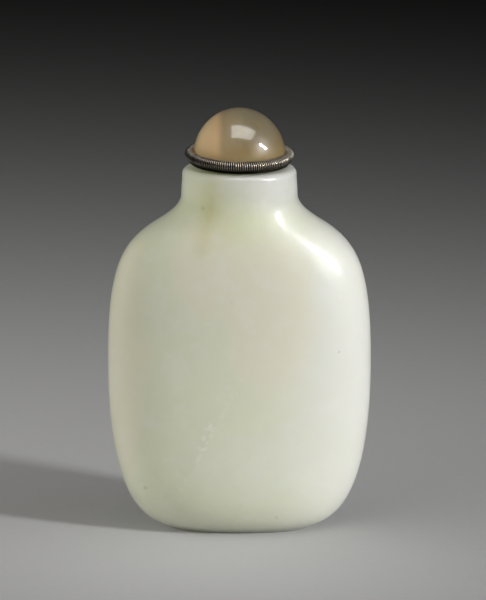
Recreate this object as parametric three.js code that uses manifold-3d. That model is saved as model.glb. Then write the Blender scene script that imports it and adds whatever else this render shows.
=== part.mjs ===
// Snuff bottle in pale jade, with its stopper resting in the mouth.
// Millimetres, +Z up, origin at the centre of the flat foot, broad front facing -Y.
import * as THREE from 'three';
import { mergeVertices } from 'three/addons/utils/BufferGeometryUtils.js';
import Module from 'manifold-3d';

// ---------- driving dimensions ----------
const LIP_Z = 55.1;              // height of the lip
const LIP_ROUND = 1.0;           // rounding of the lip's outer edge
const LIP_R = 8.55;              // outer radius at the lip
const NECK_R = 8.7;              // outer radius of the round neck
const MOUTH_R = 3.5;             // radius of the bore through the neck
const BELLY_W = 19.75;           // half-width at the widest
const BELLY_Z = 25.6;            // height of the widest section
const BELLY_D = 11.15;           // half-depth there, where the depth already narrows upwards
const FOOT_W = 10.2;             // half-width of the flat foot
const FOOT_D = 5.0;              // half-depth of the flat foot
const WALL = 3.0;                // wall at the belly's narrow sides
const FACE_WALL = 2.85;          // wall behind its broad faces
const FLOOR = 4.0;               // thickness of the floor over the foot
const BODY_POWER = 2.2;          // superellipse power of the belly's plan
const ROUND_FROM = 38.0;         // below this height the plan has the belly's power
const ROUND_TO = 50.8;           // above this height the plan is a true circle

const FIT_GAP = 0.3;             // gap between pieces that rest on each other
const LEAN = THREE.MathUtils.degToRad(4);   // the stopper leans towards the front
const ROLL = THREE.MathUtils.degToRad(1);   // and a little to the right

const PLATE_R = 7.5;             // radius of the collar's base plate
const PLATE_T = 0.4;             // its thickness
const COIL_R = 7.63;             // radius of the ring of wound wire, to the middle of the winding
const COIL_THICK = 0.65;         // radius of the winding itself
const COIL_Z = PLATE_T + FIT_GAP + COIL_THICK;   // the ring lies on the plate
const STONE_R = 6.8;             // radius of the domed stone at its widest
const STONE_UNDER = 1.0;         // rounding of its lower edge, inside the ring
const STONE_H = 6.4;             // height of the dome over its widest section
const STONE_POINT = 1.08;        // 1 is an ellipse, and more is a more pointed dome
const CORK_TOP_R = 3.0;
const CORK_TIP_R = 2.6;
const CORK_LENGTH = 6.0;
const CORK_BEVEL = 0.3;

const BODY_SIDES = 64;
const PLATE_SIDES = 60;
const COIL_SIDES = 60;
const WINDING_SIDES = 10;
const STONE_SIDES = 44;
const STONE_STEPS = 11;
const STONE_UNDER_STEPS = 4;
const CORK_SIDES = 24;
const WELD = 1e-4;               // distance under which vertices are one

// ---------- profiles as space curves of half-width, half-depth and height ----------
const station = (w, d, z) => new THREE.Vector3(w, d, z);
const curve = (...stations) => new THREE.CubicBezierCurve3(...stations);

// Foot to belly, belly to shoulder, shoulder to neck, neck to lip.
const outerCurves = () => {
  const foot = station(FOOT_W, FOOT_D, 0);
  const belly = station(BELLY_W, BELLY_D, BELLY_Z);
  const shoulder = station(13.7, 8.75, 46.05);
  const neck = station(NECK_R, NECK_R, 51.0);
  const lip = station(LIP_R, LIP_R, LIP_Z - LIP_ROUND);
  return [
    curve(foot, station(12.3, 6.4, 1.3), station(BELLY_W, 12.65, 0.6), belly),
    curve(belly, station(BELLY_W, 10.35, 39.0), station(18.0, 9.3, 42.9), shoulder),
    curve(shoulder, station(12.15, 8.56, 47.15), station(NECK_R, NECK_R, 48.7), neck),
    curve(neck, station(NECK_R, NECK_R, 52.2), station(LIP_R, LIP_R, 53.2), lip),
  ];
};

// The hollow follows the outside one wall inside it, and closes in to the bore.
const innerCurves = () => {
  const w = BELLY_W - WALL;
  const belly = station(w, BELLY_D - FACE_WALL, BELLY_Z);
  const shoulder = station(11.8, 6.2, 43.4);
  const throat = station(MOUTH_R, MOUTH_R, 48.0);
  return [
    curve(station(6.0, 2.4, FLOOR), station(11.0, 4.4, 4.4), station(w, 8.95, 5.5), belly),
    curve(belly, station(w, 7.95, 37.0), station(15.3, 7.2, 40.9), shoulder),
    curve(shoulder, station(8.9, 5.2, 45.5), station(MOUTH_R, MOUTH_R, 45.2), throat),
  ];
};

// Points along a row of curves, each end counted once.
function sample(curves, divisions) {
  const points = [];
  curves.forEach((c, i) => {
    const run = c.getPoints(divisions[i]);
    points.push(...(i === 0 ? run : run.slice(1)));
  });
  return points;
}

// Power of the superellipse at a height: the belly's below, easing to a circle at the neck.
function planPower(z) {
  return THREE.MathUtils.lerp(BODY_POWER, 2, THREE.MathUtils.smoothstep(z, ROUND_FROM, ROUND_TO));
}

// ---------- solids ----------
// Merges the seam and the poles so that the surface is one closed skin.
function welded(geometry) {
  geometry.deleteAttribute('normal');
  geometry.deleteAttribute('uv');
  return mergeVertices(geometry, WELD);
}

// Turns (radius, height) points about Z. The first and last lie on the axis.
function turned(points, sides) {
  const profile = points.map(([r, z]) => new THREE.Vector2(r, z));
  return welded(new THREE.LatheGeometry(profile, sides).rotateX(Math.PI / 2));
}

// Turns the stations' half-widths, then presses each ring to its half-depth and its plan.
function pressed(stations, sides) {
  const rows = [station(0, 0, stations[0].z), ...stations, station(0, 0, stations.at(-1).z)];
  const profile = rows.map((s) => new THREE.Vector2(s.x, s.z));
  const lathe = new THREE.LatheGeometry(profile, sides).rotateX(Math.PI / 2);
  const position = lathe.attributes.position;
  for (let i = 0; i < position.count; i += 1) {
    const row = rows[i % rows.length];
    const angle = Math.atan2(position.getY(i), position.getX(i));
    const power = 2 / planPower(row.z);
    const along = Math.sign(Math.cos(angle)) * Math.abs(Math.cos(angle)) ** power;
    const across = Math.sign(Math.sin(angle)) * Math.abs(Math.sin(angle)) ** power;
    position.setXYZ(i, row.x * along, row.y * across, row.z);
  }
  return welded(lathe);
}

const wasm = await Module();
wasm.setup();

function toSolid(geometry) {
  const vertProperties = new Float32Array(geometry.attributes.position.array);
  const triVerts = new Uint32Array(geometry.index.array);
  return new wasm.Manifold(new wasm.Mesh({ numProp: 3, vertProperties, triVerts }));
}

function toGeometry(solid) {
  const mesh = solid.getMesh();
  const geometry = new THREE.BufferGeometry();
  geometry.setAttribute('position', new THREE.BufferAttribute(mesh.vertProperties, 3));
  geometry.setIndex(new THREE.BufferAttribute(mesh.triVerts, 1));
  return geometry;
}

// The quarter round of the lip, from the side of the neck up to the flat top.
function lipRound(steps) {
  const stations = [];
  for (let i = 1; i <= steps; i += 1) {
    const turn = (i / steps) * (Math.PI / 2);
    const r = LIP_R - LIP_ROUND + LIP_ROUND * Math.cos(turn);
    stations.push(station(r, r, LIP_Z - LIP_ROUND + LIP_ROUND * Math.sin(turn)));
  }
  return stations;
}

function bottleGeometry() {
  const outside = pressed([...sample(outerCurves(), [11, 9, 6, 2]), ...lipRound(4)], BODY_SIDES);
  const bore = station(MOUTH_R, MOUTH_R, LIP_Z + LIP_ROUND);
  const hollow = pressed([...sample(innerCurves(), [7, 5, 4]), bore], BODY_SIDES);
  return toGeometry(toSolid(outside).subtract(toSolid(hollow)));
}

function plateGeometry() {
  return turned([[0, 0], [PLATE_R, 0], [PLATE_R, PLATE_T], [0, PLATE_T]], PLATE_SIDES);
}

// The outer shape of a ring of closely wound wire.
function coilGeometry() {
  const ring = new THREE.TorusGeometry(COIL_R, COIL_THICK, WINDING_SIDES, COIL_SIDES);
  return welded(ring.translate(0, 0, COIL_Z));
}

// A dome a little more pointed than an ellipse, rounded under where it sits in the ring.
function stoneGeometry(base) {
  const widest = base + STONE_UNDER;
  const points = [[0, base]];
  for (let i = 0; i <= STONE_UNDER_STEPS; i += 1) {
    const turn = (i / STONE_UNDER_STEPS) * (Math.PI / 2);
    points.push([
      STONE_R - STONE_UNDER * (1 - Math.sin(turn)),
      widest - STONE_UNDER * Math.cos(turn),
    ]);
  }
  for (let i = 1; i < STONE_STEPS; i += 1) {
    const turn = (i / STONE_STEPS) * (Math.PI / 2);
    points.push([STONE_R * Math.cos(turn), widest + STONE_H * Math.sin(turn) ** STONE_POINT]);
  }
  points.push([0, widest + STONE_H]);
  return turned(points, STONE_SIDES);
}

function corkGeometry() {
  const top = -FIT_GAP;
  const tip = top - CORK_LENGTH;
  return turned([
    [0, tip],
    [CORK_TIP_R - CORK_BEVEL, tip],
    [CORK_TIP_R, tip + CORK_BEVEL],
    [CORK_TOP_R, top],
    [0, top],
  ], CORK_SIDES);
}

// ---------- pieces ----------
function piece(name, geometry, color, roughness, metalness) {
  const mesh = new THREE.Mesh(geometry, new THREE.MeshStandardMaterial({ color, roughness, metalness }));
  mesh.name = name;
  return mesh;
}

// The stopper is drawn upright about its plate, then leant on the front of the lip.
function stopper() {
  const group = new THREE.Group();
  group.add(
    piece('collar_plate', plateGeometry(), 0x6f6a62, 0.4, 1),
    piece('collar_coil', coilGeometry(), 0x8c8880, 0.35, 1),
    piece('domed_stone', stoneGeometry(PLATE_T + FIT_GAP), 0xa58c66, 0.12, 0),
    piece('cork_plug', corkGeometry(), 0xa9805a, 0.85, 0),
  );
  const drop = PLATE_R * Math.sin(Math.hypot(LEAN, ROLL));
  group.rotation.set(LEAN, ROLL, 0);
  group.position.z = LIP_Z + FIT_GAP + drop;
  return group;
}

const snuffBottle = new THREE.Group();
snuffBottle.name = 'snuff_bottle';
snuffBottle.add(piece('bottle', bottleGeometry(), 0xc6c5b0, 0.18, 0), stopper());

export default snuffBottle;
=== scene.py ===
# %% [markdown]
# # A jade snuff bottle with a domed stopper
# The bottle is one piece of pale nephrite, hollowed through its mouth and polished by hand.
# Its stopper is a dome of brown agate in a ring of wound silver wire, on a thin silver plate
# with a cork below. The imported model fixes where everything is, so the lesson starts there.

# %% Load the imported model
import math

import bmesh
import bpy
from mathutils import Matrix, Vector, geometry


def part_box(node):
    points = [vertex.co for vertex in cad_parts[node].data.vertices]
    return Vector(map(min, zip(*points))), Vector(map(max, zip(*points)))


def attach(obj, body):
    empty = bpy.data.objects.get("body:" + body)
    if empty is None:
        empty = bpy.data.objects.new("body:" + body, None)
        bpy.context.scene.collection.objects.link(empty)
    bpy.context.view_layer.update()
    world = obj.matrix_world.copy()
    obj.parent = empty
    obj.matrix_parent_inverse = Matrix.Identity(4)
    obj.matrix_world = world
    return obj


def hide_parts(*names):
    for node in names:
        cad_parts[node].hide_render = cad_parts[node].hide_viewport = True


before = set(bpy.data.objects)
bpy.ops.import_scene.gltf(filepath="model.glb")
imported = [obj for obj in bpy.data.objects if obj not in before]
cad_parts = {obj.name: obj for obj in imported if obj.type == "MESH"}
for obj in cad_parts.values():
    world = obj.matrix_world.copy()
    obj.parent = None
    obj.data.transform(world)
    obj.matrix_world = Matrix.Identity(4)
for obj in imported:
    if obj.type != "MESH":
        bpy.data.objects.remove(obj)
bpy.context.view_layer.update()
MM = 0.001
print("nodes:", sorted(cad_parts))

# %% [markdown]
# ## Camera
# A small treasure is best seen through a long lens from well back, so that its outline keeps
# its true proportions. The camera looks at the broad front from a little above. It is made
# first, because every later choice of detail depends on what it can see.

# %% Camera
LENS_DISTANCE = 1000 * MM
LENS_ELEVATION = math.radians(11.5)
AIM = Vector((0.54, 0, 34.75)) * MM

lens = bpy.data.cameras.new("long_lens")
lens.lens = 400
lens.sensor_width = 36
lens.clip_start = 0.01
lens.clip_end = 20
camera = bpy.data.objects.new("camera", lens)
backwards = Vector((0, -math.cos(LENS_ELEVATION), math.sin(LENS_ELEVATION)))
camera.location = AIM + LENS_DISTANCE * backwards
camera.rotation_euler = (math.pi / 2 - LENS_ELEVATION, 0, 0)
bpy.context.collection.objects.link(camera)
bpy.context.scene.camera = camera
print("camera stands at", [round(c, 3) for c in camera.location])

# %% [markdown]
# ## Nodes in a few words
# A material is a small network. Writing each node out takes many lines, so one helper adds a
# node and fills its sockets: a value is typed in, and another node's output is linked.

# %% Helpers for materials
def new_material(name):
    material = bpy.data.materials.new(name)
    material.use_nodes = True
    tree = material.node_tree
    tree.nodes.clear()
    return material, tree


def add(tree, kind, settings=None, **sockets):
    node = tree.nodes.new(kind)
    for key, value in (settings or {}).items():
        setattr(node, key, value)
    for key, value in sockets.items():
        fill(tree, node.inputs[key.replace("_", " ")], value)
    return node


def fill(tree, socket, value):
    if isinstance(value, bpy.types.NodeSocket):
        tree.links.new(value, socket)
    else:
        socket.default_value = value


def math_node(tree, operation, *values, clamp=False):
    node = tree.nodes.new("ShaderNodeMath")
    node.operation = operation
    node.use_clamp = clamp
    for socket, value in zip(node.inputs, values):
        fill(tree, socket, value)
    return node.outputs[0]


def blend_colour(tree, factor, first, second):
    node = tree.nodes.new("ShaderNodeMix")
    node.data_type = "RGBA"
    fill(tree, node.inputs["Factor"], factor)
    for socket, value in (("A", first), ("B", second)):
        plug = next(s for s in node.inputs if s.name == socket and s.type == "RGBA")
        fill(tree, plug, value)
    return next(s for s in node.outputs if s.type == "RGBA")


def ramp(tree, value, low, high):
    """0 below low, 1 above high, and smooth between."""
    node = add(tree, "ShaderNodeMapRange", {"interpolation_type": "SMOOTHSTEP"})
    node.inputs["From Min"].default_value = low
    node.inputs["From Max"].default_value = high
    fill(tree, node.inputs["Value"], value)
    return node.outputs["Result"]


def cloud(tree, vector, size, detail=3.0, roughness=0.5, distortion=0.0):
    """Noise whose blotches are about `size` metres across."""
    node = add(tree, "ShaderNodeTexNoise", Vector=vector, Scale=1 / size, Detail=detail,
               Roughness=roughness, Distortion=distortion)
    return node.outputs["Fac"]


def bent(tree, place, size, amount):
    """The same place, pushed about by noise, so that zones get natural uneven edges."""
    wander = add(tree, "ShaderNodeTexNoise", Vector=place, Scale=1 / size, Detail=3.0)
    centred = add(tree, "ShaderNodeVectorMath", {"operation": "SUBTRACT"})
    fill(tree, centred.inputs[0], wander.outputs["Color"])
    centred.inputs[1].default_value = (0.5, 0.5, 0.5)
    push = add(tree, "ShaderNodeVectorMath", {"operation": "MULTIPLY_ADD"})
    fill(tree, push.inputs[0], centred.outputs["Vector"])
    push.inputs[1].default_value = (2 * amount,) * 3
    fill(tree, push.inputs[2], place)
    return push.outputs["Vector"]


def finish_material(tree, shader):
    output = tree.nodes.new("ShaderNodeOutputMaterial")
    tree.links.new(shader.outputs[0], output.inputs["Surface"])


print("material helpers ready")

# %% [markdown]
# ## Floor
# The bottle stands on a sheet of paper toned like the graduated paper studios use behind small
# treasures, but its tone is painted light: pale in the middle, and fading smoothly to near black
# all round, so the pale stone stands out. Painted shade darkens it to the right, and a painted
# darker dip and a paler painted pool of light in front keep the stone's foot clear against it.

# %% Paper floor
FLOOR_REACH = 4.0                              # half the sheet's side, in metres
PAPER_TONE, FIBRE_TONE, FIBRE_SIZE = 0.525, 0.04, 0.0012
LIGHT_FALL_REACH, LIGHT_FALL_POWER = 0.27, 1.76            # painted fall of light all round
SIDE_SHADE_SLOPE = -2.6                              # painted shade: change of tone for each metre to the right
SIDE_SHADE_LEAST, SIDE_SHADE_MOST = 0.6, 1.4
SHADE_DIP_Y, SHADE_DIP_REACH, SHADE_DIP = -0.07, 0.12, -0.28     # painted shade: the darker dip in front
LIGHT_POOL_Y, LIGHT_POOL_REACH, LIGHT_POOL = -0.03, 0.036, 0.22  # painted pool of light nearer the foot


def fading(tree, place, centre, reach, power):
    """1 at the centre of the paper, falling to 0 well beyond the reach."""
    span = add(tree, "ShaderNodeVectorMath", {"operation": "DISTANCE"})
    fill(tree, span.inputs[0], place)
    span.inputs[1].default_value = centre
    far = math_node(tree, "POWER", math_node(tree, "DIVIDE", span.outputs["Value"], reach), power)
    return math_node(tree, "POWER", math.e, math_node(tree, "MULTIPLY", far, -1.0))


def paper_material():
    material, tree = new_material("paper_with_painted_light")
    place = add(tree, "ShaderNodeTexCoord").outputs["Object"]
    across = add(tree, "ShaderNodeSeparateXYZ", Vector=place).outputs["X"]
    # Painted shade: the paper darkens towards the right.
    side = math_node(tree, "MULTIPLY_ADD", across, SIDE_SHADE_SLOPE, 1.0)
    side = math_node(tree, "MINIMUM", math_node(tree, "MAXIMUM", side, SIDE_SHADE_LEAST), SIDE_SHADE_MOST)
    # Painted shade: a darker dip in front of the bottle.
    shade_dip = fading(tree, place, (0, SHADE_DIP_Y, 0), SHADE_DIP_REACH, 2)
    # Painted pool of light nearer the foot.
    light_pool = fading(tree, place, (0, LIGHT_POOL_Y, 0), LIGHT_POOL_REACH, 2)
    near = math_node(tree, "MULTIPLY_ADD", light_pool, LIGHT_POOL, 1.0)
    near = math_node(tree, "MULTIPLY_ADD", shade_dip, SHADE_DIP, near)
    fibre = cloud(tree, place, FIBRE_SIZE, detail=4)
    tone = math_node(tree, "MULTIPLY_ADD", fibre, FIBRE_TONE, PAPER_TONE)
    # Painted light: the tone falls off all round, as a lamp's light would.
    for share in (side, near, fading(tree, place, (0, 0, 0), LIGHT_FALL_REACH, LIGHT_FALL_POWER)):
        tone = math_node(tree, "MULTIPLY", tone, share)
    bump = add(tree, "ShaderNodeBump", Height=fibre, Strength=0.05, Distance=0.0001)
    shader = add(tree, "ShaderNodeBsdfPrincipled", Base_Color=tone, Roughness=0.9,
                 Normal=bump.outputs["Normal"])
    shader.inputs["Specular IOR Level"].default_value = 0.0
    finish_material(tree, shader)
    return material


sheet = bmesh.new()
bmesh.ops.create_grid(sheet, x_segments=8, y_segments=8, size=FLOOR_REACH)
floor_mesh = bpy.data.meshes.new("floor")
sheet.to_mesh(floor_mesh)
sheet.free()
floor = bpy.data.objects.new("floor", floor_mesh)
floor.data.materials.append(paper_material())
bpy.context.collection.objects.link(floor)
print("floor:", FLOOR_REACH * 2, "m across")

# %% [markdown]
# ## Light and air
# Highlights and shading are easier to set apart from each other. So a soft box above and a
# bright strip on the right are only mirrored in the polish, and the other lamps only shade: a
# small one on the right that throws the shadow, and broad ones above, left, right and behind
# that open it up. A dim world keeps the darkest places from going black.

# %% Lights and world
def area_light(name, direction, distance, size, power, colour, facing=None, roll=0.0):
    """A flat lamp seen from the bottle in a direction, facing it unless told otherwise."""
    data = bpy.data.lights.new(name, "AREA")
    data.shape = "RECTANGLE"
    data.size, data.size_y = size
    data.energy = power
    data.color = colour
    light = bpy.data.objects.new(name, data)
    towards = Vector(direction).normalized()
    light.location = AIM + towards * distance
    look = Vector(facing or -towards)
    turn = look.to_track_quat("-Z", "Y").to_matrix() @ Matrix.Rotation(math.radians(roll), 3, "Z")
    light.rotation_euler = turn.to_euler()
    bpy.context.collection.objects.link(light)
    return light


def fill_light(*place, **turn):
    """A lamp that opens up shade but isn't mirrored in the polish."""
    area_light(*place, **turn).visible_glossy = False


def mirrored_light(*place, **turn):
    """A lamp that is only seen mirrored in the polish, and leaves the shading to the others."""
    light = area_light(*place, **turn)
    light.visible_diffuse = light.visible_transmission = False


def compass(degrees_right, degrees_up):
    """Direction from the bottle: 0 is towards the camera, and right is positive."""
    right, up = math.radians(degrees_right), math.radians(degrees_up)
    return (math.sin(right) * math.cos(up), -math.cos(right) * math.cos(up), math.sin(up))


WHITE, WARM, COOL = (1, 1, 1), (1.0, 0.985, 0.955), (0.985, 0.985, 1.0)
OVERHEAD, DOWN = (0.17, -0.49, 1), (0, 0, -1)
mirrored_light("soft_box", OVERHEAD, 0.6, (0.55, 0.36), 1.7, WARM, facing=DOWN, roll=-8)
mirrored_light("side_strip", compass(66.5, 23.5), 0.45, (0.032, 0.165), 1.4, WHITE, roll=46)
fill_light("fill_back", compass(-112, 20), 0.9, (0.9, 0.34), 1.7, WARM)
fill_light("main_light", compass(55.5, 17), 0.45, (0.05, 0.1), 1.86, COOL)
fill_light("fill_top", OVERHEAD, 0.6, (0.55, 0.36), 0.6, WARM, facing=DOWN)
fill_light("fill_left", compass(-60, 18), 0.9, (1.5, 0.36), 5.7, WARM)
fill_light("fill_right", compass(80, 6), 0.8, (0.5, 0.3), 1.8, COOL)
world = bpy.data.worlds.new("studio_air")
world.use_nodes = True
world.node_tree.nodes["Background"].inputs["Color"].default_value = (1, 1, 1, 1)
world.node_tree.nodes["Background"].inputs["Strength"].default_value = 0.04
bpy.context.scene.world = world
bpy.context.scene.view_settings.view_transform = "Standard"

# %% [markdown]
# ## The bottle's profile
# A lapidary first saws the outline of the broad face and of the narrow side, then rounds one
# into the other. The shape can be held the same way: a few stations, each a half-width, a
# half-depth and a height, joined by Bezier curves. A lathe shape alone would be round, and a
# box modelled with a subdivision surface would wander from these sizes.

# %% Stations and curves
bottle_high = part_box("bottle")[1]
BELLY_W, LIP_Z = bottle_high.x / MM, bottle_high.z / MM
BELLY_D, BELLY_Z = 11.15, 25.6
LIP_R, NECK_R, MOUTH_R = 8.55, 8.7, 3.5
LIP_ROUND, MOUTH_ROUND = 1.0, 0.35
WALL, FACE_WALL, FLOOR_T = 3.0, 2.85, 4.0
FOOT_W, FOOT_D = 10.2, 5.0
BODY_POWER, ROUND_FROM, ROUND_TO = 2.2, 38.0, 50.8


def curve(first, pull_first, pull_last, last, count):
    """Points on one Bezier curve through space, without its first."""
    ends = [Vector(p) for p in (first, pull_first, pull_last, last)]
    return geometry.interpolate_bezier(*ends, count + 1)[1:]


def outside_stations():
    foot = (FOOT_W, FOOT_D, 0)
    belly = (BELLY_W, BELLY_D, BELLY_Z)
    shoulder = (13.7, 8.82, 46.05)
    neck = (NECK_R, NECK_R, 51.0)
    lip = (LIP_R, LIP_R, LIP_Z - LIP_ROUND)
    stations = [Vector((FOOT_W * t, FOOT_D * t, 0)) for t in (0.35, 0.7, 0.93, 1)]
    stations += curve(foot, (12.3, 6.4, 1.3), (BELLY_W, 12.65, 0.6), belly, 46)
    stations += curve(belly, (BELLY_W, 10.35, 39.0), (18.0, 9.2, 42.9), shoulder, 30)
    stations += curve(shoulder, (12.15, 8.69, 47.15), (NECK_R, NECK_R, 48.7), neck, 22)
    stations += curve(neck, (NECK_R, NECK_R, 52.2), (LIP_R, LIP_R, 53.2), lip, 6)
    return stations


def quarter_round(centre_r, centre_z, radius, start, steps):
    """Stations on a quarter circle, turning a right angle from `start` degrees."""
    turns = [math.radians(start + 90 * i / steps) for i in range(1, steps + 1)]
    spots = [(centre_r + radius * math.cos(t), centre_z + radius * math.sin(t)) for t in turns]
    return [Vector((r, r, z)) for r, z in spots]


def inside_stations():
    wide = BELLY_W - WALL
    base = (6.0, 2.4, FLOOR_T)
    belly = (wide, BELLY_D - FACE_WALL, BELLY_Z)
    shoulder = (11.8, 6.2, 43.4)
    throat = (MOUTH_R, MOUTH_R, 48.0)
    rising = [Vector((3.0, 1.2, FLOOR_T)), Vector(base)]
    rising += curve(base, (11.0, 4.4, 4.4), (wide, 8.95, 5.5), belly, 18)
    rising += curve(belly, (wide, 7.95, 37.0), (15.3, 7.2, 40.9), shoulder, 12)
    rising += curve(shoulder, (8.9, 5.2, 45.5), (MOUTH_R, MOUTH_R, 45.2), throat, 8)
    return rising[::-1]


lip_turn = quarter_round(LIP_R - LIP_ROUND, LIP_Z - LIP_ROUND, LIP_ROUND, 0, 8)
mouth_turn = quarter_round(MOUTH_R + MOUTH_ROUND, LIP_Z - MOUTH_ROUND, MOUTH_ROUND, 90, 5)
bottle_stations = outside_stations() + lip_turn + mouth_turn + inside_stations()
print("stations along the profile:", len(bottle_stations))

# %% [markdown]
# ## Turning and pressing
# `bmesh.ops.spin` turns a row of edges about an axis, as a lathe does. Each vertex of the row
# carries its half-depth with it, so after the spin every ring can be pressed from a circle
# into the flattened oval of its height. The oval is a superellipse: a little squarer than an
# ellipse at the belly, and a true circle at the neck.

# %% Turn a profile about the bottle's axis
def turned(stations, sides):
    """A closed bmesh of revolution. Stations are in mm, and both ends close on the axis."""
    bm = bmesh.new()
    depth = bm.verts.layers.float.new("depth")
    low, high = stations[0].z, stations[-1].z
    row = [Vector((0, 0, low))] + list(stations) + [Vector((0, 0, high))]
    spots = []
    for w, d, z in row:
        vert = bm.verts.new((w * MM, 0, z * MM))
        vert[depth] = d / w if w else 1
        spots.append(vert)
    edges = [bm.edges.new(pair) for pair in zip(spots, spots[1:])]
    bmesh.ops.spin(bm, geom=spots + edges, cent=(0, 0, 0), axis=(0, 0, 1), dvec=(0, 0, 0),
                   angle=2 * math.pi, steps=sides, use_merge=True, use_duplicate=False)
    bmesh.ops.remove_doubles(bm, verts=bm.verts, dist=1e-7)
    return bm


def plan_power(z):
    t = min(max((z - ROUND_FROM) / (ROUND_TO - ROUND_FROM), 0), 1)
    return BODY_POWER + (2 - BODY_POWER) * t * t * (3 - 2 * t)


def press(bm):
    """Moves each vertex from its circle to the superellipse of its height."""
    depth = bm.verts.layers.float["depth"]
    for vert in bm.verts:
        radius = math.hypot(vert.co.x, vert.co.y)
        angle = math.atan2(vert.co.y, vert.co.x)
        power = 2 / plan_power(vert.co.z / MM)
        along = math.copysign(abs(math.cos(angle)) ** power, math.cos(angle))
        across = math.copysign(abs(math.sin(angle)) ** power, math.sin(angle))
        vert.co.x = radius * along
        vert.co.y = radius * vert[depth] * across


def as_piece(bm, name, node, material):
    """Turns a bmesh into a finished object that rides on the body and stands for a node."""
    bmesh.ops.recalc_face_normals(bm, faces=bm.faces)
    for face in bm.faces:
        face.smooth = True
    mesh = bpy.data.meshes.new(name)
    bm.to_mesh(mesh)
    bm.free()
    mesh.materials.append(material)
    piece = bpy.data.objects.new(name, mesh)
    bpy.context.collection.objects.link(piece)
    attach(piece, "root")
    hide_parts(node)
    print(name, "has", len(mesh.polygons), "faces")
    return piece


# %% [markdown]
# ## Jade
# Nephrite is a felt of fine fibres. Light goes a few millimetres in before it comes back, so
# edges and thin places glow and shadows are soft: that is subsurface scattering. The colour
# is a pale grey-green, with a painted sheen that turns it whiter to the right where the lamps
# fall, painted shade on the right of the neck and the left of the foot, warm clouds, an olive
# stain down one side of the neck, a feathery veil with bright flecks along its edge, and some
# tiny specks.
# All of it is laid out in the stone's own space, in millimetres, with the marks as flat
# lines on the front, seen along Y.

# %% Jade material
def near_line(tree, place, start, end, width):
    """1 on a line through the stone, fading to 0 at `width` metres from it."""
    begin, run = Vector(start) * MM, (Vector(end) - Vector(start)) * MM
    offset = add(tree, "ShaderNodeVectorMath", {"operation": "SUBTRACT"})
    fill(tree, offset.inputs[0], place)
    fill(tree, offset.inputs[1], begin)
    dot = add(tree, "ShaderNodeVectorMath", {"operation": "DOT_PRODUCT"})
    fill(tree, dot.inputs[0], offset.outputs[0])
    fill(tree, dot.inputs[1], run / run.length_squared)
    share = math_node(tree, "ADD", dot.outputs["Value"], 0.0, clamp=True)
    foot = add(tree, "ShaderNodeVectorMath", {"operation": "SCALE"})
    fill(tree, foot.inputs[0], run)
    fill(tree, foot.inputs["Scale"], share)
    gap = add(tree, "ShaderNodeVectorMath", {"operation": "DISTANCE"})
    fill(tree, gap.inputs[0], offset.outputs[0])
    fill(tree, gap.inputs[1], foot.outputs[0])
    return ramp(tree, gap.outputs["Value"], width, 0.0)


JADE_GREEN, JADE_SHEEN_WHITE = (0.665, 0.69, 0.505, 1), (0.715, 0.72, 0.62, 1)
SHEEN_FROM, SHEEN_TO = -2, 18          # where the painted sheen whitens the stone, across it

# Clouds: centre, radii and strength.
WARM_JADE, PALE_JADE = (0.735, 0.695, 0.52, 1), (0.71, 0.725, 0.62, 1)
WARM_ZONES = [((-18, -4, 28), (6, 9, 26), 0.7), ((-5, -11, 42), (7, 8, 10), 0.75),
              ((5, -11, 35), (9, 8, 16), 0.8), ((0, 9, 30), (14, 9, 20), 0.5)]
PALE_ZONES = [((1, -11, 11), (12, 8, 7), 0.35), ((8, 9, 14), (9, 7, 9), 0.4)]

# Painted shade: the neck is toned darker and greyer on its right, and the stone near the foot darker
# on its left.
NECK_SHADE, NECK_SHADE_SHARE = (0.545, 0.545, 0.515, 1), 0.8
NECK_FROM, NECK_TO, NECK_LEFT, NECK_RIGHT = 47, 53, -6, 0
FOOT_SHADE, FOOT_SHADE_SHARE = (0.55, 0.565, 0.44, 1), 0.65
FOOT_FROM, FOOT_TO, FOOT_RIGHT, FOOT_LEFT = 13, 1, 13, -10
MILK, MILK_SHARE = (0.80, 0.80, 0.72, 1), 0.2

# Marks on the front: start, end, width and strength. A speck has one place.
OLIVE, CREAM, BROWN = (0.49, 0.465, 0.21, 1), (0.92, 0.90, 0.80, 1), (0.17, 0.12, 0.04, 1)
# The last stain is wide and lies over the neck's front: an olive stain, and painted shade that
# darkens the neck.
STAINS_AND_NECK_SHADE = [((-3.7, 0, 55.7), (-4.3, 0, 49.8), 2.4, 0.2), ((-4.3, 0, 49.8), (-5.7, 0, 44.2), 2.0, 0.24),
          ((-4.1, 0, 51.5), (-4.9, 0, 46.5), 0.8, 0.1), ((-1.5, 0, 58), (-2.5, 0, 50), 7, 0.18)]
FLECKS = [((0.4, 0, 24.8), (-4.4, 0, 16.1), 0.5, 0.12), ((-4.4, 0, 17.8), (-5.6, 0, 14.4), 0.9, 0.3),
          ((-4.4, 0, 16.1), (-8.8, 0, 7.6), 0.5, 0.16)]
SPECKS = [((-5.4, 0, 50.1), 0.45, 0.22), ((-14.1, 0, 7.3), 0.4, 0.3), ((14.9, 0, 28.4), 0.35, 0.25),
          ((5.5, 0, 3.2), 0.35, 0.25), ((-1.2, 0, 36.4), 0.25, 0.12)]
MARKS_START, MARKS_FULL = -1, -4       # the depth from which marks fade in, and are full
SPECK_LENGTH = 0.05

# The veil lies to the left of a slanting line: the line's direction, its place in metres, and
# a cloud that bounds the veil.
VEIL_SIDE, VEIL_UP, VEIL_AT = 0.8795, -0.4759, 0.01145
VEIL_JADE, VEIL_SHARE = (0.60, 0.62, 0.48, 1), 0.4
VEIL_CENTRE, VEIL_RADII, VEIL_SOFT = (-5, -8, 13), (9, 9, 13), 0.3
VEIL_EDGE, VEIL_REACH = (0.3, -0.2), (-5, 0)


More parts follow.
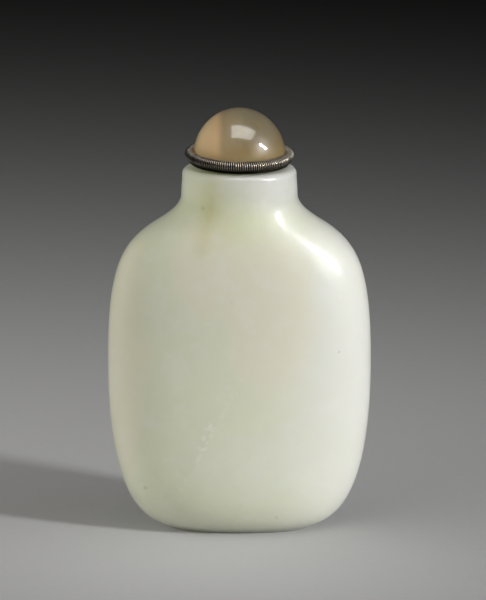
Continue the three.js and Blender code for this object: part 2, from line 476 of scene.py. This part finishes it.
def zone(tree, place, centre, radii, edge=0.5):
    """1 inside a soft ellipsoid round centre, fading to 0 at its radii, all in millimetres."""
    offset = add(tree, "ShaderNodeVectorMath", {"operation": "SUBTRACT"})
    fill(tree, offset.inputs[0], place)
    offset.inputs[1].default_value = [c * MM for c in centre]
    scaled = add(tree, "ShaderNodeVectorMath", {"operation": "DIVIDE"})
    fill(tree, scaled.inputs[0], offset.outputs["Vector"])
    scaled.inputs[1].default_value = [r * MM for r in radii]
    span = add(tree, "ShaderNodeVectorMath", {"operation": "LENGTH"})
    fill(tree, span.inputs[0], scaled.outputs["Vector"])
    return ramp(tree, span.outputs["Value"], 1.0, edge)


def tinted(tree, colour, tint, *shares):
    """The colour, blended towards a tint by the product of the shares."""
    factor = shares[0]
    for share in shares[1:]:
        factor = math_node(tree, "MULTIPLY", factor, share)
    return blend_colour(tree, factor, colour, tint)


def jade_material():
    material, tree = new_material("pale_jade")
    true_place = add(tree, "ShaderNodeTexCoord").outputs["Object"]
    place = bent(tree, true_place, 0.006, 0.0022)
    axes = add(tree, "ShaderNodeSeparateXYZ", Vector=place)
    across, height = axes.outputs["X"], axes.outputs["Z"]

    # Painted sheen: the stone turns whiter to the right, where the lamps fall.
    painted_sheen = ramp(tree, across, SHEEN_FROM * MM, SHEEN_TO * MM)
    colour = blend_colour(tree, painted_sheen, JADE_GREEN, JADE_SHEEN_WHITE)
    for tint, zones in ((WARM_JADE, WARM_ZONES), (PALE_JADE, PALE_ZONES)):
        for centre, radii, strength in zones:
            colour = tinted(tree, colour, tint, zone(tree, place, centre, radii), strength)
    # Painted shade: darker and greyer on the right of the neck.
    colour = tinted(tree, colour, NECK_SHADE, ramp(tree, height, NECK_FROM * MM, NECK_TO * MM),
                    ramp(tree, across, NECK_LEFT * MM, NECK_RIGHT * MM), NECK_SHADE_SHARE)
    # Painted shade: darker at the left of the foot.
    colour = tinted(tree, colour, FOOT_SHADE, ramp(tree, height, FOOT_FROM * MM, FOOT_TO * MM),
                    ramp(tree, across, FOOT_RIGHT * MM, FOOT_LEFT * MM), FOOT_SHADE_SHARE)
    milk = cloud(tree, place, 0.0035, detail=5, roughness=0.62, distortion=0.4)
    colour = tinted(tree, colour, MILK, ramp(tree, milk, 0.42, 0.75), MILK_SHARE)

    face = add(tree, "ShaderNodeVectorMath", {"operation": "MULTIPLY"})
    fill(tree, face.inputs[0], bent(tree, true_place, 0.0012, 0.0003))
    face.inputs[1].default_value = (1, 0, 1)
    face = face.outputs["Vector"]
    depth = add(tree, "ShaderNodeSeparateXYZ", Vector=true_place).outputs["Y"]
    front = ramp(tree, depth, MARKS_START * MM, MARKS_FULL * MM)
    # Stains; the last, wide one also paints shade over the front of the neck.
    for start, end, width, strength in STAINS_AND_NECK_SHADE:
        line = near_line(tree, face, start, end, width * MM)
        colour = tinted(tree, colour, OLIVE, line, front, strength)
    apart = add(tree, "ShaderNodeSeparateXYZ", Vector=bent(tree, true_place, 0.003, 0.0006))
    beyond = math_node(tree, "MULTIPLY_ADD", apart.outputs["X"], VEIL_SIDE,
                       math_node(tree, "MULTIPLY_ADD", apart.outputs["Z"], VEIL_UP, VEIL_AT))
    edge, reach = (ramp(tree, beyond, *(m * MM for m in pair)) for pair in (VEIL_EDGE, VEIL_REACH))
    bound = zone(tree, true_place, VEIL_CENTRE, VEIL_RADII, VEIL_SOFT)
    colour = tinted(tree, colour, VEIL_JADE, edge, reach, bound, VEIL_SHARE)
    grain = ramp(tree, cloud(tree, true_place, 0.0009, detail=2), 0.46, 0.58)
    for start, end, width, strength in FLECKS:
        line = near_line(tree, face, start, end, width * MM)
        colour = tinted(tree, colour, CREAM, line, grain, front, strength)
    for spot, width, strength in SPECKS:
        dot = near_line(tree, face, spot, (spot[0], 0, spot[2] + SPECK_LENGTH), width * MM)
        colour = tinted(tree, colour, BROWN, dot, front, strength)

    ripple = cloud(tree, place, 0.009, detail=1)
    bump = add(tree, "ShaderNodeBump", Height=ripple, Strength=0.15, Distance=0.0003)
    shader = add(tree, "ShaderNodeBsdfPrincipled", Base_Color=colour, Roughness=0.42,
                 IOR=1.61, Normal=bump.outputs["Normal"])
    shader.inputs["Coat Weight"].default_value = 0.7
    shader.inputs["Coat Roughness"].default_value = 0.12
    shader.inputs["Coat IOR"].default_value = 1.6
    shader.inputs["Subsurface Weight"].default_value = 1.0
    shader.inputs["Subsurface Radius"].default_value = (1.0, 1.0, 0.85)
    shader.inputs["Subsurface Scale"].default_value = 0.010
    finish_material(tree, shader)
    return material


bottle = turned(bottle_stations, 192)
press(bottle)
as_piece(bottle, "jade_bottle", "bottle", jade_material())

# %% [markdown]
# ## Standing the stopper in the mouth
# The stopper is drawn upright about the underside of its plate, which is easier to think
# about, and then leant into place. It rests on the front of the lip, so its plate is raised
# by the drop of its leaning edge.

# %% Where the stopper leans
LEAN, ROLL = math.radians(4), math.radians(1)
PLATE_R = 7.5
REST_GAP = 0.3
drop = PLATE_R * math.sin(math.hypot(LEAN, ROLL))
seat = Matrix.Translation((0, 0, (LIP_Z + REST_GAP + drop) * MM))
in_the_mouth = seat @ Matrix.Rotation(LEAN, 4, "X") @ Matrix.Rotation(ROLL, 4, "Y")


def stand(bm):
    bmesh.ops.transform(bm, matrix=in_the_mouth, verts=bm.verts)
    return bm


print("plate's middle is at", round(seat.translation.z / MM, 2), "mm")

# %% [markdown]
# ## Silver
# Old silver goes nearly black in its hollows, where no finger reaches, and stays bright where
# it is rubbed. Each vertex can carry that story as a number from 0 to 1, and the material
# mixes tarnish and bright metal by it. On the wound ring the number also falls towards the
# underside, which is painted shade. Painting by hand would be slower.

# %% Silver material
TARNISH, BRIGHT = (0.012, 0.009, 0.006, 1), (1.0, 0.91, 0.76, 1)
TARNISH_ROUGH, POLISH = 0.5, -0.28


def silver_material():
    material, tree = new_material("tarnished_silver")
    place = add(tree, "ShaderNodeTexCoord").outputs["Object"]
    rub_and_shade = add(tree, "ShaderNodeAttribute", {"attribute_name": "rub_and_shade"}).outputs["Fac"]
    patch = cloud(tree, place, 0.0012, detail=4)
    worn = math_node(tree, "MULTIPLY", rub_and_shade, math_node(tree, "MULTIPLY_ADD", patch, 1.5, 0.25),
                     clamp=True)
    worn = math_node(tree, "POWER", worn, 1.6)
    colour = blend_colour(tree, worn, TARNISH, BRIGHT)
    rough = math_node(tree, "MULTIPLY_ADD", worn, POLISH, TARNISH_ROUGH)
    shader = add(tree, "ShaderNodeBsdfPrincipled", Base_Color=colour, Roughness=rough, Metallic=1.0)
    finish_material(tree, shader)
    return material


silver = silver_material()

# %% [markdown]
# ## Base plate
# A thin silver disc carries the wire ring and the stone. Its edge is softened, because a
# sharp edge would catch no light at all.

# %% Plate
PLATE_T, PLATE_DROP, PLATE_EDGE = 0.22, 0.15, 0.1
# The whole plate is kept nearly black.
PLATE_BRIGHTNESS = 0.05


def round_station(r, z):
    return Vector((r, r, z))


def with_rub_and_shade(bm, how_much):
    """Stores how bright the silver is at each vertex, from the vertex's own place."""
    rub_and_shade = bm.verts.layers.float.new("rub_and_shade")
    for vert in bm.verts:
        vert[rub_and_shade] = how_much(vert.co / MM)
    return bm


plate_stations = [
    round_station(PLATE_R - PLATE_EDGE, -PLATE_DROP),
    *quarter_round(PLATE_R - PLATE_EDGE, PLATE_EDGE - PLATE_DROP, PLATE_EDGE, -90, 4),
    *quarter_round(PLATE_R - PLATE_EDGE, PLATE_T - PLATE_EDGE, PLATE_EDGE, 0, 4),
]
plate = with_rub_and_shade(turned(plate_stations, 128), lambda place: PLATE_BRIGHTNESS)
as_piece(stand(plate), "silver_plate", "collar_plate", silver)

# %% [markdown]
# ## Wound ring
# The ring round the stone is fine wire wound closely on a core like a spring, then bent into
# a hoop that lies on the plate. A curve follows the winding: its centre goes once round
# the hoop while it turns round the winding 150 times. A bevel gives the wire its thickness.
# The turns stand a little apart, so that the dark core shows between them as fine grooves.

# %% Wire winding
TURNS = 150
STEPS_PER_TURN = 22
HOOP_R = 7.42                     # to the middle of the winding
WINDING_R = 0.78                  # of the winding, wire included
WIRE_R = 0.11
HOOP_Z = PLATE_T + WINDING_R
CORE_R = WINDING_R - 1.5 * WIRE_R
TOP_LIGHT_MIDDLE, TOP_LIGHT_SLOPE = 1.15, 1.3  # painted shade: how the brightness grows from the ring's underside to its top


def winding_point(step):
    turn = 2 * math.pi * step / STEPS_PER_TURN
    around = turn / TURNS
    reach = HOOP_R + (WINDING_R - WIRE_R) * math.cos(turn)
    height = HOOP_Z - (WINDING_R - WIRE_R) * math.sin(turn)
    return Vector((reach * math.cos(around), reach * math.sin(around), height)) * MM


def wire_mesh():
    wire = bpy.data.curves.new("winding", "CURVE")
    wire.dimensions = "3D"
    wire.bevel_depth = WIRE_R * MM
    wire.bevel_resolution = 1
    count = TURNS * STEPS_PER_TURN
    spline = wire.splines.new("POLY")
    spline.points.add(count - 1)
    for step, point in enumerate(spline.points):
        point.co = (*winding_point(step), 1)
    spline.use_cyclic_u = True
    holder = bpy.data.objects.new("winding", wire)
    mesh = bpy.data.meshes.new_from_object(holder)
    bpy.data.objects.remove(holder)
    return mesh


def off_the_hoop(place):
    """How far a point is from the hoop's centre line."""
    return math.hypot(math.hypot(place.x, place.y) - HOOP_R, place.z - HOOP_Z)


def rub_and_shade_of_wire(place):
    """Bright on the crest of each turn, dark with tarnish in the grooves, and darker towards the
    ring's underside, which is painted shade.
    """
    crest = (off_the_hoop(place) - (WINDING_R - WIRE_R)) / WIRE_R
    # Painted shade: the brightness falls towards the ring's underside.
    top_light = TOP_LIGHT_MIDDLE + TOP_LIGHT_SLOPE * (place.z - HOOP_Z) / WINDING_R
    return min(max(crest, 0), 1) ** 3 * min(max(top_light, 0), 1)


def core(bm):
    """The round core that the wire is wound on."""
    upright = Matrix.Rotation(math.pi / 2, 4, "X")
    section = bmesh.ops.create_circle(bm, segments=12, radius=CORE_R * MM,
                                      matrix=Matrix.Translation((HOOP_R * MM, 0, HOOP_Z * MM))
                                      @ upright)
    edges = list({e for v in section["verts"] for e in v.link_edges})
    bmesh.ops.spin(bm, geom=section["verts"] + edges, cent=(0, 0, 0), axis=(0, 0, 1),
                   dvec=(0, 0, 0), angle=2 * math.pi, steps=96, use_merge=True,
                   use_duplicate=False)


ring = bmesh.new()
core(ring)
ring.from_mesh(wire_mesh())
with_rub_and_shade(ring, rub_and_shade_of_wire)
as_piece(stand(ring), "wound_ring", "collar_coil", silver)

# %% [markdown]
# ## Domed stone
# A cabochon is cut by rocking the stone on a wheel, which leaves a dome a little more pointed
# than an ellipse, and a lower edge rounded under so that it doesn't chip in its setting.

# %% Dome
STONE_R, STONE_UNDER, STONE_H, STONE_POINT = 6.8, 1.0, 6.4, 1.15
STONE_BASE, STONE_WIDEST = PLATE_T + 0.02, 1.7   # heights over the plate's underside
STONE_TIP = 0.02                                 # radius of the last ring round the axis


def dome_stations(steps=40):
    under = STONE_WIDEST - STONE_BASE
    stations = []
    for i in range(11):
        turn = math.pi / 2 * i / 10
        stations.append(round_station(STONE_R - STONE_UNDER * (1 - math.sin(turn)),
                                      STONE_WIDEST - under * math.cos(turn)))
    for i in range(1, steps):
        turn = math.pi / 2 * i / steps
        stations.append(round_station(STONE_R * math.cos(turn),
                                      STONE_WIDEST + STONE_H * math.sin(turn) ** STONE_POINT))
    return stations + [round_station(STONE_TIP, STONE_WIDEST + STONE_H)]


# %% [markdown]
# ## Agate
# The stone is a hazy grey-brown. On it are painted light and shade: a pale orange glow on one
# side, where light through the stone comes out, shade on the other, and a deeper amber at its
# foot, where less light reaches it from above. It lets light in, and has a glassy polish.

# %% Agate material
HAZE_DARK, HAZE_PALE = (0.31, 0.25, 0.135, 1), (0.37, 0.32, 0.20, 1)
GLOW_ORANGE, SHADE, AMBER = (0.95, 0.67, 0.37, 1), (0.20, 0.155, 0.08, 1), (0.50, 0.33, 0.10, 1)
GLOW_X, GLOW_BEFORE, GLOW_AFTER = -2.8, 0.6, 0.8   # where the painted glow starts, and its edge
SOFT_GLOW_FROM, SOFT_GLOW_SHARE = 1.5, 0.25                  # the faint painted glow before it
SHADE_FROM, SHADE_TO, SHADE_SHARE = 0, 5, 0.6      # painted shade on the right side
AMBER_FROM, AMBER_TO, AMBER_SHARE = 6.0, 1.5, 0.5  # heights over the lip


def agate_material():
    material, tree = new_material("brown_agate")
    place = add(tree, "ShaderNodeTexCoord").outputs["Object"]
    axes = add(tree, "ShaderNodeSeparateXYZ", Vector=place)
    across, height = axes.outputs["X"], axes.outputs["Z"]
    haze = cloud(tree, place, 0.004, detail=2, distortion=0.6)
    colour = blend_colour(tree, ramp(tree, haze, 0.35, 0.65), HAZE_DARK, HAZE_PALE)
    # Painted shade: the right side is darker.
    colour = tinted(tree, colour, SHADE, ramp(tree, across, SHADE_FROM * MM, SHADE_TO * MM),
                    SHADE_SHARE)
    # Painted glow: the left side turns pale orange, as where light through the stone comes out.
    colour = tinted(tree, colour, GLOW_ORANGE, ramp(tree, across, SOFT_GLOW_FROM * MM, GLOW_X * MM),
                    SOFT_GLOW_SHARE)
    side = ramp(tree, across, (GLOW_X + GLOW_BEFORE) * MM, (GLOW_X - GLOW_AFTER) * MM)
    colour = tinted(tree, colour, GLOW_ORANGE, side)
    low = ramp(tree, height, (LIP_Z + AMBER_FROM) * MM, (LIP_Z + AMBER_TO) * MM)
    colour = tinted(tree, colour, AMBER, low, AMBER_SHARE)
    shader = add(tree, "ShaderNodeBsdfPrincipled", Base_Color=colour, Roughness=0.4, IOR=1.54)
    shader.inputs["Transmission Weight"].default_value = 0.35
    shader.inputs["Subsurface Weight"].default_value = 1.0
    shader.inputs["Subsurface Radius"].default_value = (1.0, 0.8, 0.5)
    shader.inputs["Subsurface Scale"].default_value = 0.004
    shader.inputs["Coat Weight"].default_value = 1.0
    shader.inputs["Coat Roughness"].default_value = 0.015
    shader.inputs["Coat IOR"].default_value = 1.8
    finish_material(tree, shader)
    return material


as_piece(stand(turned(dome_stations(), 96)), "agate_dome", "domed_stone", agate_material())

# %% [markdown]
# ## Cork
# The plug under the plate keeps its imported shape, and only needs its finish: pressed grains,
# with darker pits between them.

# %% Cork material
GRAIN_PALE, GRAIN_DARK, PIT = (0.50, 0.32, 0.17, 1), (0.38, 0.22, 0.11, 1), (0.16, 0.08, 0.04, 1)
GRAINS_PER_METRE = 2500


def cork_material():
    material, tree = new_material("cork")
    place = add(tree, "ShaderNodeTexCoord").outputs["Object"]
    cells = add(tree, "ShaderNodeTexVoronoi", Vector=place, Scale=GRAINS_PER_METRE)
    pits = ramp(tree, cloud(tree, place, 0.0008, detail=4), 0.5, 0.62)
    colour = blend_colour(tree, cells.outputs["Distance"], GRAIN_PALE, GRAIN_DARK)
    colour = blend_colour(tree, pits, colour, PIT)
    bump = add(tree, "ShaderNodeBump", Height=pits, Strength=0.6, Distance=0.0001)
    bump.invert = True
    shader = add(tree, "ShaderNodeBsdfPrincipled", Base_Color=colour, Roughness=0.85,
                 Normal=bump.outputs["Normal"])
    finish_material(tree, shader)
    return material


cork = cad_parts["cork_plug"]
cork.data.materials.clear()
cork.data.materials.append(cork_material())
